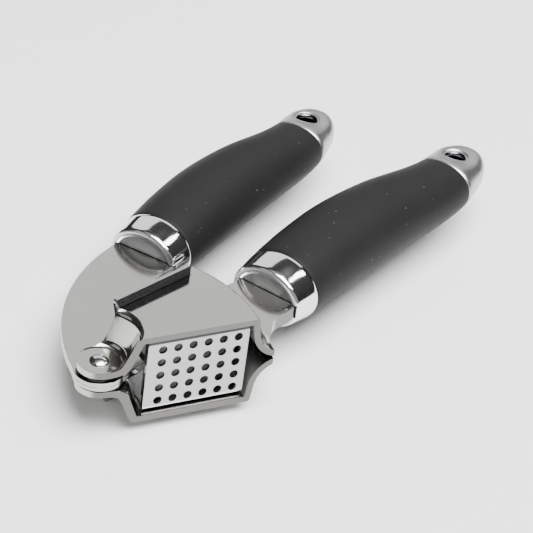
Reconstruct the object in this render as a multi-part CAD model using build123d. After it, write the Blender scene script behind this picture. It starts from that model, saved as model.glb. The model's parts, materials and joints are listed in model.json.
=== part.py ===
from build123d import *
import os
from math import cos, hypot, radians, sin, sqrt

# Garlic press lying on its side. Origin: the pivot axis is +Z, +X runs along the
# sieve face away from the pivot, +Y runs from the sieve face to the filling mouth.
# Everything is moved at the end so that the origin is the bottom centre.

# ---- body: two pressed cheeks, mirror images about the mid-plane ----
CHEEK_SHEET = 1.9            # sheet thickness of a cheek
BODY_HALF_HEIGHT = 14.4      # mid-plane to the outer face of the cheek flat
EAR_RADIUS = 6.4             # round ear of a cheek at the pivot
JOGGLE_FOOT = 7.3            # where the ear turns up into the joggle
JOGGLE_TOP = 10.6            # where the joggle turns out into the cheek flat
JOGGLE_FOOT_BEND = 2.4
JOGGLE_TOP_BEND = 2.3
BASKET_CENTRE = (0.0, -3.0)  # centre of the rim arc and of the sieve's end wall
RIM_RADIUS = 44.8            # crisp outer arc of the cheek flat
RIM_BEND = 1.0
FLARE_FOOT = RIM_RADIUS + 1.8    # where the rim wall reaches the neck
FLARE_BEND = 8.0
INNER_BEND = 0.3             # least inside radius of a bend
FRONT_EDGE = -7.0            # front edge of the cheeks, just in front of the sieve
CUSP = (RIM_RADIUS + 5.8, -7.2)  # point where the two cheeks meet at the front
NECK_FRONT = ((RIM_RADIUS + 6.2, -2.4), (RIM_RADIUS + 11.8, 6.4))   # from the cusp on
NECK_ROUNDING = 7.0
MOUTH_SHOULDER = 2.6         # cheek behind the mouth line, beyond the lip
MOUTH_LEAD = 1.0             # straight back edge of a cheek, before the lip

# ---- filling mouth and lift-out sieve ----
MOUTH_ANGLE = 20.7           # mouth plane against the sieve face
MOUTH_OFFSET = 4.7           # pivot axis to the mouth plane
SIEVE_SHEET = 1.0
SIEVE_FACE = -6.1            # outer side of the perforated face
SIEVE_NEAR = 11.6            # pivot-side edge of the perforated face
SIEVE_END_GAP = 0.4          # outer end wall to the inside of the rim wall
SIEVE_TOP_GAP = 0.4          # side walls to the inside of the cheeks
SIEVE_HALF_HEIGHT = BODY_HALF_HEIGHT - CHEEK_SHEET - SIEVE_TOP_GAP
SIEVE_BEND = 2.0
SIEVE_SIDE_GAP = 13.2        # side walls stay outside this radius
LIP_START = 8.7              # hooked lip, measured along the mouth from the pivot
LIP_END = RIM_RADIUS - 6.5
LIP_RISE = 3.3               # how far a lip stands over the cheek
LIP_CORNER = 1.8
LIP_CLEARANCE = 0.2
LIP_ROUNDING = 0.8
HOLE_COLUMNS = 6
HOLE_ROWS = 5
HOLE_PITCH = 4.6             # between columns
ROW_PITCH = 4.35             # between rows
HOLE_DIAMETER = 2.6
HOLE_FIELD = (27.6, 0.0)     # centre of the hole field on the face

# ---- lever: two flat plates back to back, with the press foot ----
LEVER_SHEET = 1.3
LEVER_EAR = 7.2
LEVER_EAR_TANGENT = 195.0    # where the round back meets the ear
REST_OPENING = 7.0           # how far the lever stands open as modelled
LEVER_BACK = (4.9, 35.8)     # a point on the round back of the lever
LEVER_FRONT_ANGLE = 29.4     # straight front edge of the lever plates
LEVER_FRONT_LENGTH = 8.0
FOOT_CLEARANCE = 0.3         # press foot to sieve when closed
FOOT_SHEET = 2.2
FOOT_NEAR = 12.9             # pivot-side end of the foot
FOOT_END_GAP = 1.9           # far end of the foot to the sieve's end wall
FOOT_FAR = RIM_RADIUS - CHEEK_SHEET - SIEVE_END_GAP - SIEVE_SHEET - FOOT_END_GAP
FOOT_CORNER = 1.4
FOOT_PLATE_INSET = 8.0       # lever plates stop short of the foot's far end
FOOT_SIDE_GAP = 0.5          # foot to the sieve's side walls
FOOT_HALF_HEIGHT = SIEVE_HALF_HEIGHT - SIEVE_SHEET - FOOT_SIDE_GAP
FOOT_WEB_SHEET = 1.2
FOOT_WEB_HEIGHT = 9.0
FOOT_RIVETS = (19.0, 28.0)   # distances from the pivot side, along the foot
FOOT_RIVET_DIAMETER = 3.0
FOOT_RIVET_HEAD = 5.0
FOOT_RIVET_HEAD_RISE = 0.8

# ---- pivot ----
RIVET_DIAMETER = 4.0
RIVET_HEAD_DIAMETER = RIVET_DIAMETER + 1.6
RIVET_HEAD_RISE = 0.9
RIVET_HEAD_EDGE = 0.3
RIVET_CLEARANCE = 0.06       # rivet shank to the bores, radial
WASHER_RADIUS = RIVET_DIAMETER / 2 + 2.6
WASHER_THICKNESS = 0.8
RUNNING_GAP = 0.05           # washer faces to the lever plates

# ---- handles: the same shape in two sizes ----
BODY_HANDLE_SIZE = 1.03
LEVER_HANDLE_SIZE = 0.97
BODY_HANDLE_ORIGIN = (RIM_RADIUS + 16.3, 19.7)
BODY_HANDLE_ANGLE = 29.2
LEVER_HANDLE_ORIGIN = (34.0, 48.2)
LEVER_HANDLE_ANGLE = 34.6
TANG_SHOULDER = 19.8         # width of the sheet where it enters the ferrule
TANG_WIDTH = 13.0
TANG_LENGTH = 34.0
FERRULE_LENGTH = 9.0
FERRULE_FACE = 1.6
FERRULE_EDGE = 1.4
CORE_NECK = (9.4, 6.7)       # half axes of the core inside the ferrule
GRIP_END = 90.0
CORE_END = 87.5
GRIP_WALL = 2.6
HANDLE_LENGTH = 110.8
HANG_HOLE_PLACE = 99.4
HANG_HOLE_SIDE = -0.9
HANG_HOLE_DIAMETER = 5.4
HANG_HOLE_LENGTH = 4.8       # straight stretch of the bore
HANG_HOLE_MOUTH = 8.2        # across the countersink where it opens widest
HANG_HOLE_FLARE = 1.6         # depth of the countersink
CAP_SPIGOT_DIAMETER = 6.0
CAP_SPIGOT_LENGTH = 14.0
CAP_PIN_DIAMETER = 2.0
CAP_PIN_LENGTH = 10.0
CAP_PIN_PLACE = 81.0
TANG_PIN_DIAMETER = 3.0
TANG_PIN_LENGTH = 12.0
TANG_PIN_PLACES = (16.0, 28.0)

# Each station of the handle: distance from the ferrule face, sideways place of
# the section's centre, half width and half height.
HANDLE_STATIONS = (
    (0.0, 0.8, 11.3, 9.0),
    (9.0, 0.9, 12.5, 10.3),
    (24.0, 1.5, 13.3, 11.3),
    (42.0, 1.6, 13.6, 11.6),
    (62.0, 0.2, 12.8, 10.8),
    (80.0, -2.3, 11.1, 9.0),
    (90.0, -2.8, 10.2, 7.7),
    (98.0, -1.9, 9.5, 5.9),
    (104.0, -1.3, 8.2, 5.1),
    (108.4, -1.1, 5.4, 4.3),
    (HANDLE_LENGTH, -1.0, 2.2, 2.6),
)

CORE_OVERRUN = 1.0           # a core is drawn this much too long, then cut to length
STACK_HALF_HEIGHT = LEVER_SHEET + WASHER_THICKNESS + CHEEK_SHEET + RUNNING_GAP
TALL = 80.0                  # long enough to cut right through anything


def polar(radius, angle):
    return (radius * cos(radians(angle)), radius * sin(radians(angle)))


def turned(point, angle, origin=(0.0, 0.0)):
    """A plan point turned about the pivot, then moved to an origin."""
    x, y = point
    c, s = cos(radians(angle)), sin(radians(angle))
    return (origin[0] + x * c - y * s, origin[1] + x * s + y * c)


def upright(sketch, half_height):
    """A plan outline as a solid, the same distance above and below the mid-plane."""
    return extrude(sketch, half_height, both=True)


def disc(radius, half_height):
    return upright(Circle(radius), half_height)


def rod(x, y, radius, low, high):
    return Pos(x, y, low) * Cylinder(radius, high - low, align=(Align.CENTER, Align.CENTER, Align.MIN))


def filleted_polygon(points, radii):
    """A closed outline; radii maps a corner's number to its fillet."""
    face = make_face(Polyline(*points, close=True))
    for number, radius in radii.items():
        corner = Vector(*points[number])
        face = fillet(face.vertices().sort_by_distance(corner)[0], radius)
    return face


def offset_corners(points, distance):
    """The inner line of a bent sheet: each straight moved over by the sheet."""
    moved = []
    for (x0, y0), (x1, y1) in zip(points, points[1:]):
        length = hypot(x1 - x0, y1 - y0)
        shift = ((y1 - y0) / length * distance, -(x1 - x0) / length * distance)
        moved.append(((x0 + shift[0], y0 + shift[1]), (x1 + shift[0], y1 + shift[1])))
    corners = [moved[0][0]]
    for ((ax, ay), (bx, by)), ((cx, cy), (dx, dy)) in zip(moved, moved[1:]):
        ex, ey, fx, fy = bx - ax, by - ay, dx - cx, dy - cy
        t = ((cx - ax) * fy - (cy - ay) * fx) / (ex * fy - ey * fx)
        corners.append((ax + ex * t, ay + ey * t))
    corners.append(moved[-1][1])
    return corners


def bent_lid(line, bends):
    """A bent sheet turned about Z: the line is its outer side, then the sheet below."""
    inner = offset_corners(line, CHEEK_SHEET)
    inner_bends = [max(bend + turn * CHEEK_SHEET, INNER_BEND) for bend, turn in bends]
    corners = range(1, len(line) - 1)
    lids = []
    for edge, radii in ((line, [bend for bend, turn in bends]), (inner, inner_bends)):
        base = [(edge[-1][0], -CHEEK_SHEET), (0.0, -CHEEK_SHEET)]
        face = filleted_polygon(edge + base, dict(zip(corners, radii)))
        lids.append(revolve(Plane.XZ * face, Axis.Z, 360))
    return lids


def cheek_shell():
    """The upper cheek before trimming: a joggle about the pivot, then the rim and flare."""
    reach = hypot(*BODY_HANDLE_ORIGIN) + TANG_LENGTH + EAR_RADIUS
    joggle = [(0.0, STACK_HALF_HEIGHT), (JOGGLE_FOOT, STACK_HALF_HEIGHT),
              (JOGGLE_TOP, BODY_HALF_HEIGHT), (reach, BODY_HALF_HEIGHT)]
    rim = [(0.0, BODY_HALF_HEIGHT), (RIM_RADIUS, BODY_HALF_HEIGHT),
           (FLARE_FOOT, CHEEK_SHEET), (reach, CHEEK_SHEET)]
    near_outer, near_inner = bent_lid(joggle, ((JOGGLE_FOOT_BEND, 1), (JOGGLE_TOP_BEND, -1)))
    far_outer, far_inner = bent_lid(rim, ((RIM_BEND, -1), (FLARE_BEND, 1)))
    place = Pos(*BASKET_CENTRE, 0)
    return (near_outer & place * far_outer) - (near_inner & place * far_inner)


def basket_disc(radius):
    """A plan disc about the centre of the rim arc."""
    return Pos(*BASKET_CENTRE) * Circle(radius)


def mouth_point(along, back):
    """A plan point given along the mouth and behind the pivot."""
    return turned((along, back), MOUTH_ANGLE)


def handle_point(origin, angle, along, side):
    return turned((along, side), angle, origin)


def tang_points(origin, angle):
    """Shoulders and tang of a sheet, from its left shoulder round to its right."""
    half, narrow = TANG_SHOULDER / 2, TANG_WIDTH / 2
    inside = FERRULE_FACE + RUNNING_GAP
    places = ((0, half), (inside, half), (inside, narrow), (TANG_LENGTH, narrow),
              (TANG_LENGTH, -narrow), (inside, -narrow), (inside, -half), (0, -half))
    return [handle_point(origin, angle, x, y) for x, y in places]


def cheek_outline():
    back = MOUTH_OFFSET - LIP_CLEARANCE
    shoulder = MOUTH_OFFSET + MOUTH_SHOULDER
    rim = sqrt(RIM_RADIUS**2 - shoulder**2)
    tang = tang_points(BODY_HANDLE_ORIGIN, BODY_HANDLE_ANGLE)
    points = [
        (0.0, -EAR_RADIUS),
        (JOGGLE_TOP, FRONT_EDGE),
        CUSP,
        *NECK_FRONT,
        *reversed(tang),
        mouth_point(rim, shoulder),
        mouth_point(LIP_END + LIP_CORNER, shoulder),
        mouth_point(LIP_END + LIP_CLEARANCE, back),
        mouth_point(LIP_START - MOUTH_LEAD, back),
        (0.0, EAR_RADIUS),
    ]
    return filleted_polygon(points, {3: NECK_ROUNDING, 4: NECK_ROUNDING}) + Circle(EAR_RADIUS)


def body_cheeks():
    """Both cheeks, with the bores for the pivot rivet and the tang pins."""
    upper = cheek_shell() & upright(cheek_outline(), TALL)
    upper -= disc(RIVET_DIAMETER / 2 + RIVET_CLEARANCE, TALL)
    for x, y in tang_pin_places(BODY_HANDLE_ORIGIN, BODY_HANDLE_ANGLE):
        upper -= rod(x, y, TANG_PIN_DIAMETER / 2, -TALL, TALL)
    return upper, mirror(upper, Plane.XY)


def tang_pin_places(origin, angle):
    return [handle_point(origin, angle, place, 0.0) for place in TANG_PIN_PLACES]


def mouth_side(offset):
    """Everything on the sieve side of a line along the mouth, as a plan outline."""
    reach = 3 * RIM_RADIUS
    return Rot(0, 0, MOUTH_ANGLE) * Pos(0, offset - reach / 2) * Rectangle(2 * reach, reach)


def sieve_holes():
    centre = Plane((HOLE_FIELD[0], SIEVE_FACE, HOLE_FIELD[1]), x_dir=(1, 0, 0), z_dir=(0, -1, 0))
    field = GridLocations(HOLE_PITCH, ROW_PITCH, HOLE_COLUMNS, HOLE_ROWS)
    pins = [loc * Cylinder(HOLE_DIAMETER / 2, 2 * SIEVE_BEND) for loc in field]
    return centre * Compound(children=pins)


def sieve_insert():
    """A wedge-shaped tray with a perforated face, an end wall and two hooked lips."""
    reach = 2 * RIM_RADIUS
    end_radius = RIM_RADIUS - CHEEK_SHEET - SIEVE_END_GAP
    face_side = Pos(SIEVE_NEAR + reach / 2, SIEVE_FACE + reach / 2) * Rectangle(reach, reach)
    top = MOUTH_OFFSET + SIEVE_SHEET
    wedge = face_side & basket_disc(end_radius) & mouth_side(top)
    tray = upright(wedge, SIEVE_HALF_HEIGHT)
    long_edges = tray.edges().filter_by(Axis.X).group_by(Axis.Y)[0]
    tray = fillet(long_edges, SIEVE_BEND)

    inner_side = Pos(reach / 2, SIEVE_FACE + SIEVE_SHEET + reach / 2) * Rectangle(reach, reach)
    hollow = inner_side & basket_disc(end_radius - SIEVE_SHEET)
    space = upright(hollow, SIEVE_HALF_HEIGHT - SIEVE_SHEET)
    low_edges = space.edges().filter_by(Axis.X).group_by(Axis.Y)[0]
    space = fillet(low_edges, SIEVE_BEND - SIEVE_SHEET)
    tray -= space

    side_gap = disc(SIEVE_SIDE_GAP, TALL) - upright(
        Pos(0, SIEVE_FACE) * Rectangle(TALL, 2 * SIEVE_SHEET), SIEVE_HALF_HEIGHT - SIEVE_BEND)
    tray -= side_gap
    end_top = upright(Circle(TALL) - basket_disc(end_radius - 2 * SIEVE_BEND), TALL)
    tray -= end_top - upright(mouth_side(MOUTH_OFFSET - LIP_CLEARANCE), TALL)
    tray -= sieve_holes()
    lip = sieve_lip()
    return tray + lip + mirror(lip, Plane.XY)


def sieve_lip():
    """One hooked lip, standing out over the back edge of a cheek."""
    low = SIEVE_HALF_HEIGHT - SIEVE_SHEET
    high = BODY_HALF_HEIGHT + LIP_RISE
    corners = ((LIP_START + LIP_CORNER, low), (LIP_END, low), (LIP_END, high), (LIP_START, high))
    outline = filleted_polygon(corners, {2: LIP_ROUNDING, 3: LIP_ROUNDING})
    plane = Plane(mouth_point(0, MOUTH_OFFSET) + (0,), x_dir=mouth_point(1, 0) + (0,),
                  z_dir=mouth_point(0, 1) + (0,))
    return extrude(plane * mirror(outline, Plane.XZ), SIEVE_SHEET)


def lever_outline():
    """Lever plate in plan as it stands at rest, from the ear round to the tang."""
    tang = tang_points(LEVER_HANDLE_ORIGIN, LEVER_HANDLE_ANGLE)
    left, right = tang[0], tang[-1]
    front = (right[0] - LEVER_FRONT_LENGTH * cos(radians(LEVER_FRONT_ANGLE)),
             right[1] - LEVER_FRONT_LENGTH * sin(radians(LEVER_FRONT_ANGLE)))
    foot_back = SIEVE_FACE + SIEVE_SHEET + FOOT_CLEARANCE + FOOT_SHEET
    foot_far = closed_point(FOOT_FAR - FOOT_PLATE_INSET, foot_back)
    foot_near = closed_point(FOOT_NEAR, foot_back)
    foot_mid = closed_point(FOOT_FAR - FOOT_PLATE_INSET, foot_back + FOOT_WEB_HEIGHT)
    ear = polar(LEVER_EAR, LEVER_EAR_TANGENT)
    back = ThreePointArc(left, LEVER_BACK, ear)
    rest = Polyline(ear, (0.0, -LEVER_EAR), foot_near, foot_far, foot_mid, front, *reversed(tang))
    return make_face([back, rest]) + Circle(LEVER_EAR)


def closed_point(x, y):
    """Where a point of the closed lever stands when the lever is at rest."""
    return turned((x, y), REST_OPENING)


def lever_plates():
    plate = extrude(lever_outline(), LEVER_SHEET)
    plate -= disc(RIVET_DIAMETER / 2 + RIVET_CLEARANCE, TALL)
    for x, y in tang_pin_places(LEVER_HANDLE_ORIGIN, LEVER_HANDLE_ANGLE):
        plate -= rod(x, y, TANG_PIN_DIAMETER / 2, -TALL, TALL)
    for x, y in foot_rivet_places():
        plate -= rod(x, y, FOOT_RIVET_DIAMETER / 2, -TALL, TALL)
    return plate, mirror(plate, Plane.XY)


def foot_rivet_places():
    back = SIEVE_FACE + SIEVE_SHEET + FOOT_CLEARANCE + FOOT_SHEET
    return [closed_point(x, back + FOOT_WEB_HEIGHT / 2) for x in FOOT_RIVETS]


def press_foot():
    """Flat foot with a pair of webs that hold the lever plates between them."""
    low = SIEVE_FACE + SIEVE_SHEET + FOOT_CLEARANCE
    width = FOOT_FAR - FOOT_NEAR
    slab = Pos((FOOT_NEAR + FOOT_FAR) / 2, low + FOOT_SHEET / 2) * Rectangle(width, FOOT_SHEET)
    foot = upright(slab, FOOT_HALF_HEIGHT)
    foot = fillet(foot.edges().filter_by(Axis.Y), FOOT_CORNER)
    web_width = FOOT_RIVETS[-1] - FOOT_RIVETS[0] + 2 * FOOT_RIVET_HEAD
    web_middle = (FOOT_RIVETS[0] + FOOT_RIVETS[-1]) / 2
    web = Pos(web_middle, low + FOOT_SHEET + FOOT_WEB_HEIGHT / 2) * Rectangle(web_width, FOOT_WEB_HEIGHT)
    thick = LEVER_SHEET + FOOT_WEB_SHEET
    webs = upright(web, thick) - upright(web, LEVER_SHEET)
    foot = Rot(0, 0, REST_OPENING) * (foot + webs)
    for x, y in foot_rivet_places():
        foot -= rod(x, y, FOOT_RIVET_DIAMETER / 2, -TALL, TALL)
    return foot


def foot_rivets():
    half = LEVER_SHEET + FOOT_WEB_SHEET
    rivets = []
    for x, y in foot_rivet_places():
        rivet = rod(x, y, FOOT_RIVET_DIAMETER / 2, -half, half)
        for low in (half, -half - FOOT_RIVET_HEAD_RISE):
            rivet += rod(x, y, FOOT_RIVET_HEAD / 2, low, low + FOOT_RIVET_HEAD_RISE)
        rivets.append(rivet)
    return Compound(children=rivets)


def dome(radius, rise):
    """A flat-bottomed domed head standing on the mid-plane."""
    ball = (radius**2 + rise**2) / (2 * rise)
    return (Pos(0, 0, rise - ball) * Sphere(ball)) & rod(0, 0, radius, 0, rise)


def pivot_rivet():
    """Shank and two domed heads, one on each ear."""
    shank = disc(RIVET_DIAMETER / 2, STACK_HALF_HEIGHT)
    head = rod(0, 0, RIVET_HEAD_DIAMETER / 2, 0, RIVET_HEAD_EDGE)
    head += Pos(0, 0, RIVET_HEAD_EDGE) * dome(RIVET_HEAD_DIAMETER / 2, RIVET_HEAD_RISE)
    top = Pos(0, 0, STACK_HALF_HEIGHT) * head
    return shank + top + mirror(top, Plane.XY)


def pivot_washers():
    ring = Circle(WASHER_RADIUS) - Circle(RIVET_DIAMETER / 2 + RIVET_CLEARANCE)
    upper = Pos(0, 0, LEVER_SHEET + RUNNING_GAP) * extrude(ring, WASHER_THICKNESS)
    return Compound(children=[upper, mirror(upper, Plane.XY)])


def handle_section(along, side, half_width, half_height):
    plane = Plane((along, side, 0), x_dir=(0, 1, 0), z_dir=(1, 0, 0))
    return plane * Ellipse(half_width, half_height)


def stations(size):
    """The handle's sections, scaled about the ferrule face."""
    return [tuple(size * value for value in station) for station in HANDLE_STATIONS]


def handle_blank(size):
    """The whole outside of a handle, along +X from the ferrule face."""
    return loft([handle_section(*station) for station in stations(size)])


def slab_between(low, high):
    return Pos((low + high) / 2, 0, 0) * Box(high - low, TALL, TALL)


def core_blank(size):
    low, high = size * FERRULE_LENGTH - CORE_OVERRUN, size * GRIP_END + CORE_OVERRUN
    sections = [handle_section(x, y, width - GRIP_WALL, height - GRIP_WALL)
                for x, y, width, height in stations(size) if low < x < high]
    return loft(sections) & slab_between(size * FERRULE_LENGTH, size * CORE_END)


def tang_slot(sheet_half):
    shoulder = Pos(TANG_LENGTH / 2, 0, 0) * Box(TANG_LENGTH, TANG_WIDTH, 2 * sheet_half)
    entry = FERRULE_FACE + RUNNING_GAP
    mouth = Pos(entry / 2, 0, 0) * Box(entry, TANG_SHOULDER, 2 * sheet_half)
    return shoulder + mouth


def core_neck(size):
    """The core's stub inside the ferrule."""
    plane = Plane((FERRULE_FACE, stations(size)[0][1], 0), x_dir=(0, 1, 0), z_dir=(1, 0, 0))
    return extrude(plane * Ellipse(*CORE_NECK), size * FERRULE_LENGTH - FERRULE_FACE)


def handle_parts(sheet_half, size):
    """Ferrule, core, grip, end cap, tang pins and cap pin, before they are placed."""
    blank, core = handle_blank(size), core_blank(size)
    neck, slot = core_neck(size), tang_slot(sheet_half)
    grip_start, grip_end = size * FERRULE_LENGTH, size * GRIP_END
    side = size * HANG_HOLE_SIDE
    spigot = Pos(grip_end - CAP_SPIGOT_LENGTH / 2, side, 0) * Rot(0, 90, 0) * Cylinder(
        CAP_SPIGOT_DIAMETER / 2, CAP_SPIGOT_LENGTH)
    cap_pin = Pos(size * CAP_PIN_PLACE, side, 0) * Cylinder(CAP_PIN_DIAMETER / 2, CAP_PIN_LENGTH)
    tang_pins = Compound(children=[
        Pos(place, 0, 0) * Cylinder(TANG_PIN_DIAMETER / 2, TANG_PIN_LENGTH) for place in TANG_PIN_PLACES])

    ferrule = (blank & slab_between(0, grip_start)) - neck
    ferrule = fillet(ferrule.faces().sort_by(Axis.X)[0].outer_wire().edges(), FERRULE_EDGE) - slot
    grip = (blank & slab_between(grip_start, grip_end)) - core - spigot
    cap = (blank & slab_between(grip_end, size * HANDLE_LENGTH)) + spigot - cap_pin
    cap -= Pos(size * HANG_HOLE_PLACE, side, 0) * hang_hole()
    core = core + neck - slot - spigot - cap_pin - tang_pins
    return {"ferrule": ferrule, "handle_core": core, "grip": grip, "end_cap": cap,
            "tang_pins": tang_pins, "cap_pin": cap_pin}


def hang_hole():
    """A straight bore that opens out in a countersink at each face."""
    bore, mouth = HANG_HOLE_DIAMETER / 2, HANG_HOLE_MOUTH / 2
    start = HANG_HOLE_LENGTH / 2
    sink = Pos(0, 0, start + HANG_HOLE_FLARE / 2) * Cone(bore, mouth, HANG_HOLE_FLARE)
    sink += rod(0, 0, mouth, start + HANG_HOLE_FLARE, TALL)
    return Cylinder(bore, TALL) + sink + mirror(sink, Plane.XY)


def build():
    nodes = {}
    nodes["body_cheek_upper"], nodes["body_cheek_lower"] = body_cheeks()
    nodes["sieve_insert"] = sieve_insert()
    nodes["lever_plate_upper"], nodes["lever_plate_lower"] = lever_plates()
    nodes["press_foot"] = press_foot()
    nodes["press_foot_rivets"] = foot_rivets()
    nodes["pivot_rivet"] = pivot_rivet()
    nodes["pivot_washers"] = pivot_washers()
    handles = (
        ("body", BODY_HANDLE_ORIGIN, BODY_HANDLE_ANGLE, CHEEK_SHEET, BODY_HANDLE_SIZE),
        ("lever", LEVER_HANDLE_ORIGIN, LEVER_HANDLE_ANGLE, LEVER_SHEET, LEVER_HANDLE_SIZE),
    )
    for side, origin, angle, sheet, size in handles:
        place = Pos(*origin, 0) * Rot(0, 0, angle)
        for name, piece in handle_parts(sheet, size).items():
            nodes[side + "_" + name] = place * piece
    return nodes


nodes = build()
corners = [node.bounding_box() for node in nodes.values()]
low = [min(getattr(box.min, axis) for box in corners) for axis in "XYZ"]
high = [max(getattr(box.max, axis) for box in corners) for axis in "XYZ"]
PIVOT = (-(low[0] + high[0]) / 2, -(low[1] + high[1]) / 2, -low[2])
print("pivot", [round(v, 4) for v in PIVOT], "size", [round(h - l, 2) for l, h in zip(low, high)])

os.makedirs("parts", exist_ok=True)
for name, node in nodes.items():
    export_step(Pos(*PIVOT) * node, "parts/" + name + ".step")
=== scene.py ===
import json
import math
import bmesh
import bpy
from mathutils import Matrix, Vector


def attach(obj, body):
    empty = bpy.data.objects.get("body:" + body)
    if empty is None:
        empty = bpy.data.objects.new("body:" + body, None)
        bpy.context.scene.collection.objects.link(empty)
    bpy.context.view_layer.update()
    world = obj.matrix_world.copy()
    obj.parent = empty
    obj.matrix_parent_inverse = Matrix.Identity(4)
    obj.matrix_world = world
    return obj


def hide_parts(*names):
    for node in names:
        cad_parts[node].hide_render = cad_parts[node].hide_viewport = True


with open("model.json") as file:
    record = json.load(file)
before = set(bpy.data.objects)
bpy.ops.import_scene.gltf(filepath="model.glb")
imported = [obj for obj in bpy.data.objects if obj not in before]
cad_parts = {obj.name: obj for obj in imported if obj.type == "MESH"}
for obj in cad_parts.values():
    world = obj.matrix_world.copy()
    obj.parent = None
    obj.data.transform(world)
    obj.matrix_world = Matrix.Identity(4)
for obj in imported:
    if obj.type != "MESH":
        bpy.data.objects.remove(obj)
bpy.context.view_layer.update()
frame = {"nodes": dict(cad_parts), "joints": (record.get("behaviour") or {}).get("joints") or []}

# ---- Cheeks of the body -----------------------------------------------------
# Two stainless blanks, each drawn into half a box around the sieve and joggled in
# to a round ear at the pivot. The flats and the bends are brushed alike.

MM = 0.001
PIVOT = Vector(frame["joints"][0]["pos_m"])
SHEET_EDGE = 0.3 * MM         # broken edge of a stamped sheet
CHEEK_EDGE = 0.35 * MM
SHEET_COLOUR = (0.435, 0.43, 0.408, 1.0)
GRAIN_TURN = math.radians(62)  # direction of the brushing, from the sieve face
SEAM_REACH = 0.002 * MM       # vertices nearer than this are one
FLAT_ANGLE = math.radians(0.4)  # faces that turn less than this are one flat
INNER_START = 24.0            # the unpolished inside of a cheek lies this far beyond the pivot


class Wire:
    """An output in a node tree, so that shader arithmetic reads as arithmetic."""

    def __init__(self, tree, socket=None):
        self.tree = tree
        self.socket = socket

    def node(self, kind, settings=None, inputs=None, output=0):
        made = self.tree.nodes.new(kind)
        for key, value in (settings or {}).items():
            setattr(made, key, value)
        for key, value in (inputs or {}).items():
            if isinstance(value, Wire):
                self.tree.links.new(value.socket, made.inputs[key])
            else:
                made.inputs[key].default_value = value
        return Wire(self.tree, made.outputs[output] if made.outputs else None)

    def math(self, operation, *values):
        return self.node("ShaderNodeMath", {"operation": operation}, dict(enumerate(values)))

    def mix(self, low, high):
        """Blends two colours, with this output as the factor."""
        return self.node("ShaderNodeMix", {"data_type": "RGBA"}, {0: self, 6: low, 7: high}, 2)

    def __add__(self, other):
        return self.math("ADD", self, other)

    __radd__ = __add__

    def __mul__(self, other):
        return self.math("MULTIPLY", self, other)

    __rmul__ = __mul__

    def __sub__(self, other):
        return self.math("SUBTRACT", self, other)

    def __rsub__(self, other):
        return self.math("SUBTRACT", other, self)

    def __gt__(self, other):
        return self.math("GREATER_THAN", self, other)


def new_surface(name):
    """A material with an empty tree, and the place of each point on the piece in mm."""
    material = bpy.data.materials.new(name)
    material.use_nodes = True
    material.node_tree.nodes.clear()
    start = Wire(material.node_tree)
    place = start.node("ShaderNodeTexCoord", output=3)
    place = start.node("ShaderNodeVectorMath", {"operation": "SCALE"}, {0: place, 3: 1 / MM})
    return material, place


def finish_surface(place, colour, roughness, height=None, lift=0.01, **fixed):
    """Principled shader with a bump; height is in the bump's own units."""
    inputs = {"Base Color": colour, "Roughness": roughness, **fixed}
    if height is not None:
        inputs["Normal"] = place.node("ShaderNodeBump", None, {"Height": height, "Distance": lift * MM})
    shader = place.node("ShaderNodeBsdfPrincipled", None, inputs)
    place.node("ShaderNodeOutputMaterial", None, {"Surface": shader})


def noise(place, pitch, detail=2.0):
    """Even noise whose bumps are about pitch mm apart."""
    inputs = {"Vector": place, "Scale": 1 / pitch, "Detail": detail}
    return place.node("ShaderNodeTexNoise", {"noise_dimensions": "3D"}, inputs)


def stretched(place, turn, along, across):
    """The place seen through a lens that draws noise out along a direction in plan."""
    inputs = {"Vector": place, "Angle": -turn}
    turned = place.node("ShaderNodeVectorRotate", {"rotation_type": "Z_AXIS"}, inputs)
    scale = (1 / along, 1 / across, 1 / across)
    return place.node("ShaderNodeVectorMath", {"operation": "MULTIPLY"}, {0: turned, 1: scale})


def brushed_steel(name, colour, roughness, turn=GRAIN_TURN, grain=0.0004, front_shade_and_dulling=0.0):
    """Sheet with a one-way grain; the last argument darkens its front edges as painted shade and dulls its
    inside.
    """
    material, place = new_surface(name)
    lines = noise(stretched(place, turn, 26, 0.22), 1.0, 3.0)
    cloud = noise(place, 9.0)
    facing = place.node("ShaderNodeTexCoord", output=1)
    front = place.node("ShaderNodeSeparateXYZ", None, {0: facing}, 1) * -1
    # Painted shade: faces that look to the front (towards -y) are darkened.
    front_shade = place.node("ShaderNodeMapRange", {"interpolation_type": "SMOOTHSTEP"},
                      {"Value": front, "From Min": 0.7, "From Max": 0.9, "To Min": 0.0, "To Max": front_shade_and_dulling})
    inward = place.node("ShaderNodeSeparateXYZ", None, {0: facing}, 0) * -1
    scuff = place.node("ShaderNodeMapRange", {"interpolation_type": "SMOOTHSTEP"},
                       {"Value": inward, "From Min": 0.4, "From Max": 0.9, "To Min": 0.0, "To Max": front_shade_and_dulling})
    beyond = place.node("ShaderNodeSeparateXYZ", None, {0: place}, 0) > PIVOT.x / MM + INNER_START
    tone = (lines * 0.14 + cloud * 0.08 + 0.89) * (1 - front_shade)
    tint = place.node("ShaderNodeVectorMath", {"operation": "SCALE"}, {0: colour[:3], 3: tone})
    rough = roughness + (lines - 0.5) * 0.06 + (cloud - 0.5) * 0.04 + scuff * beyond * 0.6
    finish_surface(place, tint, rough, lines, grain, Metallic=1.0)
    return material


def soften(node, width, segments=2, angle=30):
    """Breaks the sharp edges of a CAD piece and shades its bends smoothly."""
    piece = frame["nodes"][node]
    weld = piece.modifiers.new("joined seams", "WELD")
    weld.merge_threshold = SEAM_REACH
    clean = piece.modifiers.new("flat faces", "DECIMATE")
    clean.decimate_type = "DISSOLVE"
    clean.angle_limit = FLAT_ANGLE
    bevel = piece.modifiers.new("broken edges", "BEVEL")
    bevel.width = width
    bevel.segments = segments
    bevel.limit_method = "ANGLE"
    bevel.angle_limit = math.radians(angle)
    for polygon in piece.data.polygons:
        polygon.use_smooth = True
    even = piece.modifiers.new("even shading", "WEIGHTED_NORMAL")
    even.keep_sharp = False
    return piece


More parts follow.
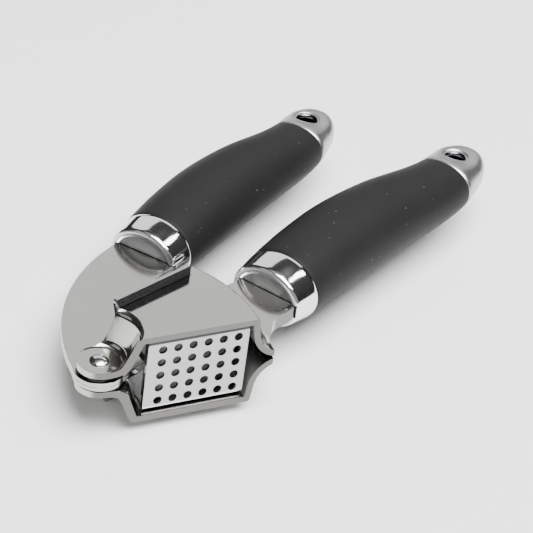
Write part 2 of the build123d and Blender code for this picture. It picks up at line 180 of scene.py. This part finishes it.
def paint(piece, material):
    piece.data.materials.clear()
    piece.data.materials.append(material)


# The cheeks' front edges get painted shade, up to 0.68 darker, and their inside is dulled.
sheet_steel = brushed_steel("brushed sheet", SHEET_COLOUR, 0.13, front_shade_and_dulling=0.68)
for name in ("body_cheek_upper", "body_cheek_lower"):
    paint(soften(name, CHEEK_EDGE, 3), sheet_steel)

# ---- Sieve insert -----------------------------------------------------------
# A lift-out tray of thin polished steel with thirty punched holes. Its two lips
# hook over the back edges of the cheeks.

SIEVE_EDGE = 0.16 * MM
SIEVE_COLOUR = (0.42, 0.412, 0.432, 1.0)

sieve_steel = brushed_steel("polished sieve", SIEVE_COLOUR, 0.16, turn=0.0)
paint(soften("sieve_insert", SIEVE_EDGE), sieve_steel)

# ---- Lever plates and press foot --------------------------------------------
# Two flat plates back to back, cut from brushed sheet. The foot is a thicker
# pressing, held between its webs by two rivets.

lever_steel = brushed_steel("brushed lever sheet", SHEET_COLOUR, 0.15)
for name in ("lever_plate_upper", "lever_plate_lower"):
    paint(soften(name, SHEET_EDGE), lever_steel)

# The foot and its rivets are painted far darker than the sheet: painted shade, so the sieve holes in front of
# the foot read dark.
shaded_foot_steel = brushed_steel("foot in painted shade", (0.22, 0.22, 0.22, 1.0), 0.42, turn=0.0)
paint(soften("press_foot", SHEET_EDGE), shaded_foot_steel)
paint(soften("press_foot_rivets", SHEET_EDGE), shaded_foot_steel)

# ---- Pivot ------------------------------------------------------------------
# A domed steel rivet through both ears, with a washer on each side of the lever
# to take up the joggle.

RIVET_EDGE = 0.12 * MM

rivet_steel = brushed_steel("turned rivet", (0.62, 0.62, 0.62, 1.0), 0.14)
for name in ("pivot_rivet", "pivot_washers"):
    paint(soften(name, RIVET_EDGE), rivet_steel)

# ---- Ferrules ---------------------------------------------------------------
# A bright plated collar closes the front of each handle. Its duller face is dished
# behind a rolled rim, and a slit lets the sheet through.

HANDLES = {
    "body": {"origin": (61.1, 19.7), "turn": 29.2, "size": 1.03, "sheet": 1.9},
    "lever": {"origin": (34.0, 48.2), "turn": 34.6, "size": 0.97, "sheet": 1.3},
}
# Distance from the ferrule face, sideways centre, half width, half height, squareness.
STATIONS = (
    (0.0, 0.8, 11.3, 9.0, 2.0),
    (9.0, 0.9, 12.5, 10.3, 2.0),
    (24.0, 1.5, 13.3, 11.3, 2.0),
    (42.0, 1.6, 13.6, 11.6, 2.0),
    (62.0, 0.2, 12.8, 10.8, 2.0),
    (80.0, -2.3, 11.1, 9.0, 2.05),
    (90.0, -2.8, 10.2, 7.7, 2.15),
    (98.0, -1.9, 9.5, 5.9, 2.5),
    (104.0, -1.3, 8.2, 5.1, 2.8),
    (108.4, -1.1, 5.4, 4.3, 2.6),
    (110.8, -1.0, 2.2, 2.6, 2.2),
)
RING_POINTS = 96
FERRULE_LENGTH = 9.0
FERRULE_RIM = 0.9             # width of the rolled rim
FERRULE_ROLL = 1.1            # its outer radius
FERRULE_DISH = 0.7            # how far the face lies behind the rim
FERRULE_BACK = 0.3            # broken back edge, where the grip starts
FERRULE_INNER = (8.6, 6.0)    # how far in the face's first two rings lie
FACE_TILT = -0.8              # faces that look this far forward have the face's finish
SLIT_WIDTH = 20.8
SLIT_CLEARANCE = 0.22
SLIT_DEPTH = 1.5


def station(place):
    """The section at a distance along the handle, on smooth curves through the stations."""
    last = len(STATIONS) - 1
    i = max(k for k in range(last) if STATIONS[k][0] <= max(place, 0.0))
    before, low, high, after = (STATIONS[min(max(k, 0), last)] for k in (i - 1, i, i + 1, i + 2))
    span = high[0] - low[0]
    t = (place - low[0]) / span
    values = []
    for k in range(1, 5):
        slope_low = (high[k] - before[k]) / (high[0] - before[0]) * span
        slope_high = (after[k] - low[k]) / (after[0] - low[0]) * span
        values.append((2 * t**3 - 3 * t**2 + 1) * low[k] + (t**3 - 2 * t**2 + t) * slope_low
                      + (3 * t**2 - 2 * t**3) * high[k] + (t**3 - t**2) * slope_high)
    return values


def ring(place, inset=0.0, at=None):
    """Points round the handle at a distance, moved in by inset; at draws them elsewhere."""
    side, width, height, square = station(place)
    width, height = max(width - inset, 0.02), max(height - inset, 0.02)
    points = []
    for k in range(RING_POINTS):
        angle = 2 * math.pi * k / RING_POINTS
        c, s = math.cos(angle), math.sin(angle)
        y = side + width * math.copysign(abs(c) ** (2 / square), c)
        z = height * math.copysign(abs(s) ** (2 / square), s)
        points.append((place if at is None else at, y, z))
    return points


def face_outward(mesh):
    shell = bmesh.new()
    shell.from_mesh(mesh)
    bmesh.ops.recalc_face_normals(shell, faces=shell.faces)
    shell.to_mesh(mesh)
    shell.free()


def skin(name, rings):
    """A closed skin over rings of points, in handle mm."""
    count = len(rings[0])
    vertices = [tuple(value * MM for value in point) for loop in rings for point in loop]
    faces = []
    for row in range(len(rings) - 1):
        for k in range(count):
            a, b = row * count + k, row * count + (k + 1) % count
            faces.append((a, a + count, b + count, b))
    faces.append(tuple(range(count)))
    faces.append(tuple(reversed(range(len(vertices) - count, len(vertices)))))
    mesh = bpy.data.meshes.new(name)
    mesh.from_pydata(vertices, [], faces)
    face_outward(mesh)
    mesh.shade_smooth()
    piece = bpy.data.objects.new(name, mesh)
    bpy.context.scene.collection.objects.link(piece)
    return piece


def cut(piece, cutter):
    """Takes the cutter out of the piece for good, and drops the cutter."""
    bite = piece.modifiers.new("cut", "BOOLEAN")
    bite.operation = "DIFFERENCE"
    bite.solver = "EXACT"
    bite.object = cutter
    bpy.context.view_layer.update()
    solid = bpy.data.meshes.new_from_object(piece.evaluated_get(bpy.context.evaluated_depsgraph_get()))
    piece.modifiers.clear()
    piece.data = solid
    bpy.data.objects.remove(cutter)


def settle(piece, side, node, material):
    """Puts a handle piece in its place on the press, instead of the CAD node."""
    handle = HANDLES[side]
    x, y = (value * MM for value in handle["origin"])
    turn = Matrix.Rotation(math.radians(handle["turn"]), 4, "Z")
    piece.data.transform(Matrix.Translation(PIVOT + Vector((x, y, 0))) @ turn)
    paint(piece, material)
    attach(piece, side)
    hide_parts(node)


def add_material_to_faces(piece, faces, material):
    """Gives some faces of a piece a material of their own: the dished face's finish, and the painted shade of
    a bore.
    """
    piece.data.materials.append(material)
    for index in faces:
        piece.data.polygons[index].material_index = len(piece.data.materials) - 1


def roll(steps, radius):
    """Quarter-round steps: how far in and how far back each step of a rounded edge lies."""
    angles = [math.pi / 2 * k / steps for k in range(steps + 1)]
    return [(radius * (1 - math.sin(a)), radius * (1 - math.cos(a))) for a in angles]


def box_cutter(lengths, centre):
    """A block for cutting, given its three lengths and its centre in mm."""
    corners = [(x, y, z) for x in (-0.5, 0.5) for y in (-0.5, 0.5) for z in (-0.5, 0.5)]
    vertices = [tuple((c * d + m) * MM for c, d, m in zip(p, lengths, centre)) for p in corners]
    faces = [(0, 1, 3, 2), (4, 6, 7, 5), (0, 4, 5, 1), (2, 3, 7, 6), (0, 2, 6, 4), (1, 5, 7, 3)]
    mesh = bpy.data.meshes.new("cutter")
    mesh.from_pydata(vertices, [], faces)
    face_outward(mesh)
    block = bpy.data.objects.new("cutter", mesh)
    bpy.context.scene.collection.objects.link(block)
    return block


def polished_chrome():
    material, place = new_surface("polished plate")
    wipe = noise(place, 6.0, 3.0)
    haze = noise(place, 0.5)
    rough = 0.05 + wipe * 0.05 + haze * 0.02
    tone = (wipe * 0.5).mix((0.86, 0.86, 0.88, 1), (0.80, 0.80, 0.82, 1))
    finish_surface(place, tone, rough, wipe, 0.004, Metallic=1.0)
    return material


def ferrule_rings(size):
    """From the middle of the dished face, over the rim, to the back edge."""
    length = size * FERRULE_LENGTH
    face_inset = FERRULE_ROLL + FERRULE_RIM
    rings = [ring(0.0, inset, FERRULE_DISH) for inset in (*FERRULE_INNER, face_inset + 0.5)]
    rings += [ring(0.0, face_inset, 0.6 * FERRULE_DISH), ring(0.0, face_inset - 0.25, 0.12)]
    rings += [ring(0.0, face_inset - 0.5, 0.0)]
    rings += [ring(back, inward) for inward, back in roll(6, FERRULE_ROLL)]
    rings += [ring(FERRULE_ROLL + (length - FERRULE_BACK - FERRULE_ROLL) * k / 8) for k in range(1, 9)]
    rings += [ring(length, FERRULE_BACK), ring(length, 4.0)]
    return rings


def scaled(rings, size):
    """Rings drawn for the standard handle, for a handle of another size."""
    return [[(x, size * y, size * z) for x, y, z in loop] for loop in rings]


plate = polished_chrome()
face_plate, place = new_surface("dished face plate")
face_tone = (noise(place, 4.0, 3.0)).mix((0.52, 0.52, 0.54, 1), (0.68, 0.68, 0.70, 1))
finish_surface(place, face_tone, 0.27 + noise(place, 2.5) * 0.1, noise(place, 0.6), 0.004, Metallic=1.0)
for side, handle in HANDLES.items():
    ferrule = skin(side + "_ferrule_collar", scaled(ferrule_rings(handle["size"]), handle["size"]))
    thick = 2 * (handle["sheet"] + SLIT_CLEARANCE)
    cut(ferrule, box_cutter((2 * SLIT_DEPTH, SLIT_WIDTH, thick), (0, 0, 0)))
    crisp = ferrule.modifiers.new("slit edges", "BEVEL")
    crisp.width = 0.1 * MM
    crisp.segments = 2
    crisp.limit_method = "ANGLE"
    crisp.angle_limit = math.radians(50)
    dished = [polygon.index for polygon in ferrule.data.polygons if polygon.normal.x < FACE_TILT]
    settle(ferrule, side, side + "_ferrule", plate)
    add_material_to_faces(ferrule, dished, face_plate)

# ---- Cores and tang pins ----------------------------------------------------
# Moulded plastic cores sit on the tangs of the sheet, inside the grips, and two
# steel pins hold each of them. None of this shows on the finished press.

core_plastic, place = new_surface("moulded core")
finish_surface(place, (0.03, 0.03, 0.03, 1), 0.5 + noise(place, 2.0) * 0.1, noise(place, 0.4), 0.01)
pin_steel = brushed_steel("steel pins", (0.6, 0.6, 0.6, 1.0), 0.25)
for side in HANDLES:
    paint(frame["nodes"][side + "_handle_core"], core_plastic)
    paint(frame["nodes"][side + "_tang_pins"], pin_steel)
    paint(frame["nodes"][side + "_cap_pin"], pin_steel)

# ---- Grips ------------------------------------------------------------------
# Soft charcoal sleeves moulded over the cores, with a fine matt skin that holds a
# few specks of dust. Both ends are rounded down to the metal.

GRIP_END = 90.0
GRIP_ROUND = 0.7
GRIP_LOOPS = 60


def grip_rubber():
    material, place = new_surface("soft grip")
    grain = noise(place, 0.35, 3.0)
    cloud = noise(place, 14.0)
    speck = noise(place, 1.1, 1.0) > 0.785
    dark = (cloud * 0.7 + grain * 0.3).mix((0.006, 0.006, 0.0062, 1), (0.011, 0.011, 0.011, 1))
    tone = (speck * 0.5).mix(dark, (0.16, 0.16, 0.155, 1))
    rough = 0.50 + cloud * 0.10 + grain * 0.06
    finish_surface(place, tone, rough, grain, 0.02, **{"Specular IOR Level": 0.16})
    return material


def grip_rings(size):
    start, end = FERRULE_LENGTH * size, GRIP_END * size
    rings = [ring(start / size, 3.0, start)]
    rings += [ring((start + back) / size, inward, start + back) for inward, back in roll(5, GRIP_ROUND)]
    span = end - start - 2 * GRIP_ROUND
    for k in range(1, GRIP_LOOPS):
        place = start + GRIP_ROUND + span * k / GRIP_LOOPS
        rings.append(ring(place / size, 0.0, place))
    rings += [ring((end - back) / size, inward, end - back) for inward, back in reversed(roll(5, GRIP_ROUND))]
    rings += [ring(end / size, 3.0, end)]
    return rings


rubber = grip_rubber()
for side, handle in HANDLES.items():
    grip = skin(side + "_grip_sleeve", scaled(grip_rings(handle["size"]), handle["size"]))
    settle(grip, side, side + "_grip", rubber)

# ---- End caps ---------------------------------------------------------------
# Cast caps with a satin plate. Each one narrows from the grip's oval to a flat eye,
# with a countersunk hole to hang the press by.

CAP_END = 110.8
CAP_LOOPS = 44
HOLE_PLACE = 99.4
HOLE_SIDE = -0.9
HOLE_RADIUS = 2.7
HOLE_STRAIGHT = 3.4           # half length of the straight bore
HOLE_FLARE = 1.5              # radius of the rounded mouth
CAP_SEAM = 0.35
BORE_SHADE = 0.55             # part of the rounded mouth that gets the bore's painted shade
BORE_POINTS = 64
BORE_REACH = 12.0             # the cutter's half length, beyond both faces
BORE_SPREAD = 0.4             # how much wider the cutter is at its ends than the mouth


def satin_plate():
    material, place = new_surface("satin plate")
    grain = noise(place, 0.5, 3.0)
    cloud = noise(place, 7.0)
    tone = (cloud * 0.6 + grain * 0.4).mix((0.40, 0.40, 0.41, 1), (0.50, 0.50, 0.51, 1))
    finish_surface(place, tone, 0.26 + cloud * 0.10 + grain * 0.05, grain, 0.004, Metallic=1.0)
    return material


def cap_rings(size):
    start, end = GRIP_END * size, CAP_END * size
    rings = [ring(start / size, 4.0, start), ring(start / size, CAP_SEAM + 0.3, start)]
    rings += [ring((start + 0.3) / size, CAP_SEAM, start + 0.3)]
    span = end - start
    for k in range(1, CAP_LOOPS + 1):
        place = start + 0.3 + (span - 0.3) * math.sin(math.pi / 2 * k / CAP_LOOPS)
        rings.append(ring(place / size, 0.0, place))
    return rings


def turned_cutter(profile, centre):
    """A turned cutter about a vertical axis, from (radius, height) points in mm."""
    loops = []
    for radius, height in profile:
        angles = (2 * math.pi * k / BORE_POINTS for k in range(BORE_POINTS))
        loops.append([(centre[0] + radius * math.cos(a), centre[1] + radius * math.sin(a), height)
                      for a in angles])
    return skin("cutter", loops)


def hole_profile():
    """Half a bore that flares in a quarter round, mirrored to the other face."""
    flare = [(HOLE_RADIUS + inward, HOLE_STRAIGHT + HOLE_FLARE - back)
             for inward, back in roll(8, HOLE_FLARE)]
    upper = sorted(flare, key=lambda point: point[1]) + [(HOLE_RADIUS + HOLE_FLARE + BORE_SPREAD, BORE_REACH)]
    return [(radius, -height) for radius, height in reversed(upper)] + upper


satin = satin_plate()
# The bore and the inner part of its mouth are painted nearly black: painted shade for the dark hole.
bore_painted_shade, place = new_surface("bore in painted shade")
bore_shade_tone = noise(place, 1.5).mix((0.08, 0.08, 0.085, 1), (0.13, 0.13, 0.14, 1))
finish_surface(place, bore_shade_tone, 0.10 + noise(place, 3.0) * 0.06, noise(place, 0.5), 0.004, Metallic=1.0)
for side, handle in HANDLES.items():
    size = handle["size"]
    cap = skin(side + "_hanging_cap", scaled(cap_rings(size), size))
    cut(cap, turned_cutter(hole_profile(), (HOLE_PLACE * size, HOLE_SIDE * size)))
    eye = Vector((HOLE_PLACE * size, HOLE_SIDE * size)) * MM
    shade_reach = (HOLE_RADIUS + BORE_SHADE * HOLE_FLARE) * MM
    bore = [polygon.index for polygon in cap.data.polygons if (polygon.center.xy - eye).length < shade_reach]
    settle(cap, side, side + "_end_cap", satin)
    add_material_to_faces(cap, bore, bore_painted_shade)

# ---- Floor, light and camera ------------------------------------------------
# A plain pale floor under large soft lights. The camera looks down across the
# sieve face, with the handles running away from it.

FLOOR_HALF = 3.0
CAMERA_TURN = math.radians(29.814)
CAMERA_TILT = math.radians(33.729)
CAMERA_ROLL = math.radians(8.189)
CAMERA_DISTANCE = 672.0
CAMERA_ASIDE = 46.52
CAMERA_UP = 29.71
CAMERA_AIM = (-1.0, -1.76, 0.75)   # from the pivot
CAMERA_LENS = 164.93

floor_mesh = bpy.data.meshes.new("floor")
floor_corners = [(FLOOR_HALF * x, FLOOR_HALF * y, 0) for x, y in ((-1, -1), (1, -1), (1, 1), (-1, 1))]
floor_mesh.from_pydata(floor_corners, [], [(0, 1, 2, 3)])
floor = bpy.data.objects.new("floor", floor_mesh)
bpy.context.scene.collection.objects.link(floor)
pale, place = new_surface("pale floor")
finish_surface(place, (0.92, 0.92, 0.92, 1), 0.75 + noise(place, 30.0) * 0.05)
paint(floor, pale)


def soft_light(name, position, aim, sides, power):
    lamp = bpy.data.lights.new(name, "AREA")
    lamp.shape = "RECTANGLE"
    lamp.size, lamp.size_y = sides
    lamp.energy = power
    holder = bpy.data.objects.new(name, lamp)
    holder.location = position
    holder.rotation_euler = (Vector(aim) - Vector(position)).to_track_quat("-Z", "Y").to_euler()
    bpy.context.scene.collection.objects.link(holder)


soft_light("overhead", (0.1, -0.45, 1.45), (0, 0, 0), (1.3, 1.2), 84)
soft_light("back", (0.75, 1.3, 0.95), (0, 0, 0), (1.9, 1.1), 9.5)
soft_light("left", (-1.3, 0.05, 0.87), (0, 0, 0), (0.9, 0.7), 1.3)
soft_light("window", (0.85, -0.08, 1.1), (0, 0, 0), (0.2, 0.3), 2)

world = bpy.data.worlds.new("studio")
world.use_nodes = True
world.node_tree.nodes.clear()
sky = Wire(world.node_tree)
toward = sky.node("ShaderNodeTexCoord", output=0)
height = sky.node("ShaderNodeSeparateXYZ", None, {0: toward}, 2)
front = sky.node("ShaderNodeSeparateXYZ", None, {0: toward}, 1) * -1


def fade(value, low, high, least, most):
    limits = {"Value": value, "From Min": low, "From Max": high, "To Min": least, "To Max": most}
    return sky.node("ShaderNodeMapRange", {"interpolation_type": "SMOOTHSTEP"}, limits)


room = fade(height, 0.0, 0.7, 0.03, 0.06)
overhead_glow = fade(height, 0.84, 0.96, 0.0, 0.4)
front_glow = fade(front, 0.55, 0.85, 0.0, 0.3)
strength = room + overhead_glow + front_glow
glow = sky.node("ShaderNodeBackground", None, {"Color": (1, 1, 1, 1), "Strength": strength})
sky.node("ShaderNodeOutputWorld", None, {"Surface": glow})
bpy.context.scene.world = world

away = Vector((math.sin(CAMERA_TURN), math.cos(CAMERA_TURN), 0))
level = Vector((math.cos(CAMERA_TURN), -math.sin(CAMERA_TURN), 0))
ahead = math.cos(CAMERA_TILT) * away - math.sin(CAMERA_TILT) * Vector((0, 0, 1))
above = level.cross(ahead)
across = math.cos(CAMERA_ROLL) * level + math.sin(CAMERA_ROLL) * above
upward = across.cross(ahead)
lens = bpy.data.cameras.new("camera")
lens.lens = CAMERA_LENS
lens.clip_end = 20
camera = bpy.data.objects.new("camera", lens)
axes = Matrix((across, upward, -ahead)).transposed()
offset = across * CAMERA_ASIDE + upward * CAMERA_UP - ahead * CAMERA_DISTANCE + Vector(CAMERA_AIM)
camera.matrix_world = Matrix.Translation(PIVOT + offset * MM) @ axes.to_4x4()
bpy.context.scene.collection.objects.link(camera)
bpy.context.scene.camera = camera
